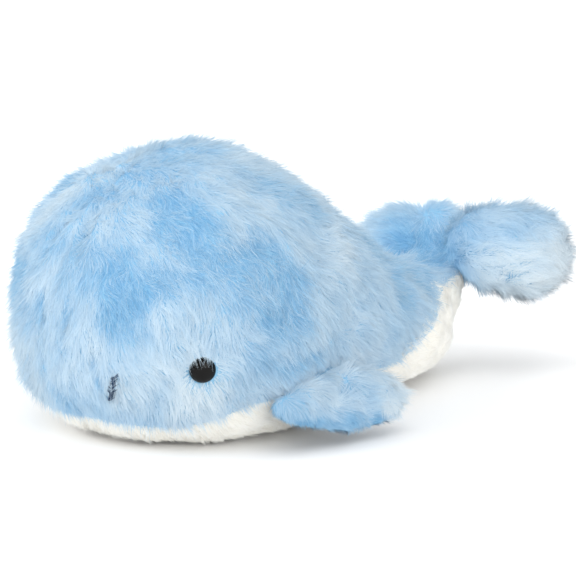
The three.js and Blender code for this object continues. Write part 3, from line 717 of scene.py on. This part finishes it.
def trunk_flow(p, n):
    """The way the pile lies: back from the nose and down the sides."""
    off_middle = np.exp(-(p[:, 1] / 28) ** 2)
    aside = 0.35 * np.sign(p[:, 1]) * (1 - off_middle) - 0.3 * off_middle
    rearward = between(p[:, 0], -10, 80)
    base = np.stack([0.32 + 0.7 * rearward, aside, -0.9 + 0.2 * rearward], 1)
    base = unit(base - n * (base * n).sum(1, keepdims=True))
    return base + 0.22 * wave_vectors(p, 48, 31) + 0.16 * wave_vectors(p, 19, 41) + 0.12 * wave_vectors(p, 8, 42)


# The blue pile of the body and the tail, which is brushed away from the eyes and short around them
for side in ("left", "right"):
    mine = blue & ((root[:, 1] < 0) == (side == "left"))
    r, n, e, away, margin = root[mine], normal[mine], far_eye[mine], from_eye[mine], gap[mine]
    clear = e > EYE_CLEAR - 0.3 * np.clip(away[:, 2], 0, 1)
    r, n, e, away, margin = r[clear], n[clear], e[clear], away[clear], margin[clear]
    near = np.exp(-((e - EYE_RADIUS) / 5) ** 2)
    above = np.clip(away[:, 2], 0, 1)
    around = away * (1.6 - 1.9 * above)[:, None] + np.array([0, 0, -0.2])
    rough_and_shaded = tousled(r)
    flow = trunk_flow(r, n) * (1 - near)[:, None] + near[:, None] * around
    flow = flow + (0.3 * rough_and_shaded)[:, None] * wave_vectors(r, 9, 46)
    length = (BODY_PILE - 0.7 * between(r[:, 0], 10, 50)) * (1 - 0.25 * rough_and_shaded)
    length = length * (1 + 0.1 * waves(r, 18, 51) + 0.12 * RNG.normal(size=len(r)))
    length = length * (1 - (0.72 - 0.25 * above) * near)
    length = np.minimum(length, 1.8 + 0.9 * np.maximum(margin, 0))
    lift, stands = mixed_lift(len(r), 16 + 14 * rough_and_shaded, 4, RNG)
    length = np.where(stands, length * 1.55, length)
    length = np.minimum(length, 1.5 + 1.3 * above + np.maximum(e - EYE_RADIUS, 0))
    lift = lift * (1 - 0.5 * near) + 0.55 * near * above
    # The paler fur around the eye and below it
    halo = np.exp(-(distance_from(r, [-49, 60, 31]) / 18) ** 2)
    # Painted shade: the tint is darker where the pile is tousled
    tint = BODY_TINT + 0.03 * between(-r[:, 0], 20, 70) - 0.46 * rough_and_shaded
    tint = tint + 0.05 * waves(r, 40, 71) + 0.04 * waves(r, 14, 72)
    # Painted shade: the tint is darker along the cover's creases
    tint = tint + 0.28 * halo - 0.9 * creased(r) ** 2 - 0.08 * between(r[:, 0], 20, 90)
    tint = tint + 0.2 * rough_and_shaded * RNG.normal(size=len(r))
    grow(f"{side}_pile", r, n, flow, np.clip(length, 1.5, 14), np.clip(lift, 0.1, 1.2), tint,
         uneven(len(r), 1 + 0.4 * near * (1 - 1.6 * above)), blue_pile, on_trunk, RNG, seed=1,
         hold=0.2 + 0.35 * rough_and_shaded, curl=0.13 + 0.3 * rough_and_shaded)

# The cream pile of the belly, which is thinner where the whale lies on it
r, n = root[cream], normal[cream]
on_floor = 1 - between(r[:, 2], 4, 14)
flow = np.cross(n, [0, 1.0, 0]) + [0.3, 0, -0.2] + 0.2 * wave_vectors(r, 30, 43)
length = BELLY_PILE * (1 - 0.2 * on_floor) * (1 + 0.12 * RNG.normal(size=len(r)))
keep = RNG.random(len(r)) > 0.55 * on_floor
lift, _ = mixed_lift(keep.sum(), 11, 3, RNG, 0.08)
grow("belly_pile", r[keep], n[keep], flow[keep], length[keep], lift, BELLY_TINT + 0.2 * waves(r[keep], 30, 73),
     uneven(keep.sum()), cream_pile, on_trunk, RNG, seed=2)


def fluke_pile(side):
    """A fluke's pile, which fans out from its root. The near fluke is paler on its lower half."""
    lobe = FLUKES[side]
    points, faces, normals = lobe_skins["fluke", side]
    r, n = roots_on(points, faces, normals, PILE_DENSITY, RNG)
    ok = ~inside_trunk(r, 1.0) & ~FLUKES["right" if side == "left" else "left"].inside(r, SKIN + 1)
    r, n = r[ok], n[ok]
    top = lobe.local(r)[:, 2] * lobe.axes[2][2] > 0
    for part, chosen, slot in (("top", top, "coat_blue"), ("underside", ~top, "coat_cream")):
        a, b = r[chosen], n[chosen]
        local = lobe.local(a)
        rim = unit((local - [0, -10, 0]) * [1, 1, 0]) @ lobe.axes
        flow = rim * 0.55 + lobe.axes[1] * 0.8 + [0, 0, -0.15]
        flow = flow + 0.3 * wave_vectors(a, 22, 44) + 0.2 * wave_vectors(a, 8, 47)
        length = FLUKE_PILE * (1 + 0.1 * waves(a, 15, 52) + 0.12 * RNG.normal(size=len(a)))
        length = length * (0.5 + 0.5 * between(local[:, 1], 6, 20))
        # Painted shade: the tint is darker in the hollow where the fluke meets the tail
        rough_and_shaded = np.exp(-(distance_from(a, [178, 10, 62]) / 19) ** 2)
        level = a[:, 2] - 64 - 0.3 * (local[:, 1] - 30)
        pale = (1 - between(level, -4, 12)) * between(local[:, 1], 12, 34) * (1 if side == "left" else 0.3)
        tint = FLUKE_TINT - 0.42 * rough_and_shaded + 0.45 * pale + 0.06 * waves(a, 26, 74)
        lift, stands = mixed_lift(len(a), 22, 5, RNG, 0.35, 52)
        length = np.where(stands, length * 1.3, length)
        grow(f"fluke_{side}_{part}_pile", a, b, flow, np.clip(length, 2.5, 14), lift, tint, uneven(len(a)),
             blue_pile, lambda piece: on_fluke(piece, side), RNG, seed=3, skyward=0.9)


def flipper_pile(side):
    """A flipper's pile, which runs along it and is short at its front and along its outer side's lower edge."""
    lobe = FLIPPERS[side][0]
    points, faces, normals = lobe_skins["flipper", side]
    r, n = roots_on(points, faces, normals, FLIPPER_DENSITY, RNG)
    ok = ~inside_trunk(r, 0.5)
    r, n = r[ok], n[ok]
    outer = lobe.local(r)[:, 2] * lobe.axes[2][1] * SIGNS[side] > 0
    for part, chosen in (("top", outer), ("underside", ~outer)):
        a, b = r[chosen], n[chosen]
        q = lobe.local(a)
        flow = lobe.axes[1] * 0.8 + lobe.axes[0] * 0.35 + 0.45 * wave_vectors(a, 16, 45)
        short = between(q[:, 0], 6, 13) if part == "top" else np.ones(len(a))
        front = 1 - between(q[:, 1], -40, -22)
        flow = flow + (front * 1.5)[:, None] * lobe.axes[0]
        length = FLIPPER_PILE * (1 - 0.5 * short) * (1 - 0.5 * front) * (1 + 0.14 * RNG.normal(size=len(a)))
        tint = FLIPPER_TINT - 0.45 * short - 0.3 * front * (1 - short) + 0.08 * waves(a, 14, 75)
        tint = tint + 0.35 * between(q[:, 1], 10, 38) * (1 - short)
        lift, _ = mixed_lift(len(a), 18, 5, RNG)
        grow(f"flipper_{side}_{part}_pile", a, b, flow, np.clip(length, 3, 12), lift, tint, uneven(len(a)),
             blue_pile, lambda piece: on_flipper(piece, side), RNG, seed=4)


for side in ("left", "right"):
    fluke_pile(side)
    flipper_pile(side)


# ---- eyes ----
def lathe(name, profile, sides, origin, axis, material):
    """A turned form about an axis. The profile goes from the axis out and back to it, as radius and height."""
    x = unit(np.cross(axis, [0, 0, 1.0]))
    y = np.cross(axis, x)
    profile = np.array(profile, float)
    inner = profile[1:-1]
    angle = 2 * math.pi * np.arange(sides) / sides
    ring = np.cos(angle)[:, None] * x + np.sin(angle)[:, None] * y
    points = [origin + axis * profile[0, 1]]
    for radius, height in inner:
        points.extend(origin + axis * height + ring * radius)
    points.append(origin + axis * profile[-1, 1])
    points = np.array(points)
    faces = capped(len(inner), sides)
    tri = points[faces] - origin
    if np.einsum("ij,ij->i", tri[:, 0], np.cross(tri[:, 1], tri[:, 2])).sum() < 0:
        faces = faces[:, ::-1]
    return make_faces(name, points, faces, material)


def eye_material():
    material, nodes, links, shader = new_material("eye_black")
    smears = texture(nodes, links, "ShaderNodeTexNoise", "Fac", Scale=700, Detail=3)
    toned(nodes, links, shader, smears, [(0.3, (9, 8, 8)), (0.7, (16, 15, 14))])
    shine = set_inputs(nodes.new("ShaderNodeMapRange"), To_Min=0.06, To_Max=0.16)
    links.new(smears, shine.inputs["Value"])
    links.new(shine.outputs[0], shader.inputs["Roughness"])
    set_inputs(shader, Specular_IOR_Level=0.16, Coat_Weight=0.02, Coat_Roughness=0.05)
    return material


def eye_profile():
    """A safety eye: its domed head, the collar under it, and a shank with six ratchet teeth and a blunt end."""
    dome, rim, radius, shank = 5.0, 1.1, EYE_RADIUS, 2.0
    back, teeth, pitch = 0.6 - dome, 6, 1.5
    steps = np.linspace(0, HALF_PI, 26)
    points = [(radius * math.sin(t), back + rim + (dome - rim) * math.cos(t)) for t in steps]
    points += [(radius - 0.02, back + 0.5), (radius - 0.15, back + 0.15), (radius - 0.5, back)]
    points += [(2.4, back), (shank, back - 0.4)]
    for i in range(teeth):
        h = back - 3.0 - pitch * i
        points += [(shank, h), (2.45, h - 0.05), (2.5, h - 0.2), (shank, h - 1.35)]
    return points + [(shank, back - 13), (1.5, back - 14.4), (0.7, back - 14.95), (0.0, back - 15)]


eye_black = eye_material()
for side, (centre, axis) in EYES.items():
    eye = lathe(f"safety_eye_{side}", eye_profile(), 64, centre, axis, eye_black)
    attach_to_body(eye, "body")
    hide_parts(f"eye_{side}")


# ---- the mouth's tick of thread, on the near side only ----
def thread_material():
    material, nodes, links, shader = new_material("mouth_thread")
    twist = texture(nodes, links, "ShaderNodeTexWave", "Fac", Scale=900)
    twist.node.bands_direction = "DIAGONAL"
    toned(nodes, links, shader, twist, [(0.2, (14, 34, 62)), (0.8, (30, 60, 100))])
    bumped(nodes, links, shader, twist, 0.4, 0.0002)
    set_inputs(shader, Roughness=0.8, Specular_IOR_Level=0.15)
    return material


def rope(line, radius, sides=8):
    """A thread along a line, closed at both ends."""
    along = unit(np.gradient(line, axis=0))
    x = unit(np.cross(along, [0.3, 0.2, 1.0]))
    y = np.cross(along, x)
    turn = 2 * math.pi * np.arange(sides) / sides
    ring = np.cos(turn)[None, :, None] * x[:, None] + np.sin(turn)[None, :, None] * y[:, None]
    points = np.vstack([line[:1], (line[:, None] + radius * ring).reshape(-1, 3), line[-1:]])
    return points, capped(len(line), sides)


mouth_thread = thread_material()
# The tick's line from top to bottom
MOUTH = np.array([(-73.9, -33.6, 39.2), (-73.6, -31.8, 34.4), (-72.9, -29.6, 29.2), (-71.6, -27.4, 25.0)])
THREADS, THREAD_RADIUS, THREAD_RISE = 18, 0.2, 2.6
points, faces, count = [], [], 0
for share in np.linspace(0.12, 0.9, THREADS):
    middle = spline(MOUTH, np.array([share]))[0]
    place, normal, _, _ = TRUNK_TREE.find_nearest(middle.tolist())
    place, normal = np.array(place), np.array(normal)
    slant = np.array([-0.6, 0.8, -0.5]) + 0.2 * RNG.normal(size=3)
    slant = unit(slant - normal * slant.dot(normal))
    t = np.linspace(-1, 1, 9)[:, None]
    half = (2.1 - 0.6 * abs(2 * share - 1)) * RNG.uniform(0.6, 1.2)
    rise = THREAD_RISE - THREAD_RISE * t ** 2 + 0.5 * RNG.random()
    more_points, more_faces = rope(place + t * half * slant + rise * normal, THREAD_RADIUS)
    points.append(more_points)
    faces.append(more_faces + count)
    count += len(more_points)
tick = make_faces("mouth_stitch", np.vstack(points), np.vstack(faces), mouth_thread)
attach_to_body(tick, "body")


# ---- the washers, whose solids stay ----
washer, nodes, links, shader = new_material("washer_white")
grain = texture(nodes, links, "ShaderNodeTexNoise", "Fac", Scale=900)
toned(nodes, links, shader, grain, [(0.3, (222, 222, 217)), (0.7, (236, 236, 232))])
bumped(nodes, links, shader, grain, 0.15, 0.0002)
set_inputs(shader, Roughness=0.5)
for side in ("left", "right"):
    for material_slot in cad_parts[f"eye_washer_{side}"].material_slots:
        material_slot.material = washer


# ---- the stage, the light and the camera ----
FAR = 60  # metres from the middle of the floor to its sides
FLOOR_CORNERS = [(-FAR, -FAR, 0), (FAR, -FAR, 0), (FAR, FAR, 0), (-FAR, FAR, 0)]
floor_mesh = bpy.data.meshes.new("floor")
floor_mesh.from_pydata(FLOOR_CORNERS, [], [(0, 1, 2, 3)])
floor = bpy.data.objects.new("floor", floor_mesh)
bpy.context.scene.collection.objects.link(floor)
material, nodes, links, shader = new_material("floor_white")
nodes.remove(shader)
diffuse = nodes.new("ShaderNodeBsdfDiffuse")
path = nodes.new("ShaderNodeLightPath")
seen = nodes.new("ShaderNodeMath")
seen.operation = "MAXIMUM"
mix = nodes.new("ShaderNodeMix")
mix.data_type = "RGBA"
set_inputs(mix, A=(0.9, 0.9, 0.9, 1), B=(0.96, 0.96, 0.96, 1))
links.new(path.outputs["Is Camera Ray"], seen.inputs[0])
links.new(path.outputs["Is Glossy Ray"], seen.inputs[1])
links.new(seen.outputs[0], mix.inputs["Factor"])
links.new(mix.outputs["Result"], diffuse.inputs["Color"])
links.new(diffuse.outputs[0], nodes["Material Output"].inputs["Surface"])
floor_mesh.materials.append(material)

world = bpy.data.worlds.new("world")
bpy.context.scene.world = world
world.use_nodes = True
nodes, links = world.node_tree.nodes, world.node_tree.links
light = set_inputs(nodes["Background"], Color=(0.99, 0.995, 1.0, 1), Strength=0.8)
white = set_inputs(nodes.new("ShaderNodeBackground"), Color=(1, 1, 1, 1), Strength=1.0)
path = nodes.new("ShaderNodeLightPath")
mix = nodes.new("ShaderNodeMixShader")
links.new(path.outputs["Is Camera Ray"], mix.inputs[0])
links.new(light.outputs[0], mix.inputs[1])
links.new(white.outputs[0], mix.inputs[2])
links.new(mix.outputs[0], nodes["World Output"].inputs["Surface"])


def sun(name, strength, angle, direction, colour=(1, 1, 1)):
    """A distant lamp of that angle. The direction goes from the whale to it."""
    lamp = bpy.data.lights.new(name, "SUN")
    lamp.energy = strength
    lamp.angle = math.radians(angle)
    lamp.color = colour
    item = bpy.data.objects.new(name, lamp)
    item.rotation_mode = "QUATERNION"
    item.rotation_quaternion = Vector(direction).to_track_quat("Z", "Y")
    bpy.context.scene.collection.objects.link(item)


sun("key", 1.0, 35, (-1.0, 0.7, 0.8), (1.0, 0.995, 0.985))
sun("front", 1.2, 50, (-0.35, -1.0, 0.2))
sun("top", 0.7, 60, (-0.35, -0.45, 1.2))
sun("left", 0.35, 30, (-0.6, 1.1, 0.85))
sun("back", 0.4, 60, (1.0, 0.35, 0.6))

# The photograph's camera, 45 degrees from the whale's left side toward its nose and 10 degrees above the floor
AZIMUTH, ELEVATION, DISTANCE = math.radians(-45), math.radians(10), 1000
AIM_RIGHT, AIM_UP, AIM_LEVEL = 47.975, 0.95, 63  # where it aims, from the middle of the body on the floor
level = math.cos(ELEVATION)
right = Vector((math.cos(AZIMUTH), math.sin(AZIMUTH), 0))
toward = Vector((math.sin(AZIMUTH) * level, -math.cos(AZIMUTH) * level, math.sin(ELEVATION)))
up = toward.cross(right)
target = Vector((PLACE[0], 0, AIM_LEVEL)) + right * AIM_RIGHT + up * AIM_UP
lens = bpy.data.cameras.new("camera")
lens.sensor_width = 36
lens.lens = 131.58
lens.clip_start, lens.clip_end = 0.05, 200
camera = bpy.data.objects.new("camera", lens)
bpy.context.scene.collection.objects.link(camera)
turned = Matrix((right, up, toward)).transposed().to_4x4()
camera.matrix_world = Matrix.Translation((target + toward * DISTANCE) * MM) @ turned
bpy.context.scene.camera = camera
bpy.context.scene.view_settings.view_transform = "Standard"
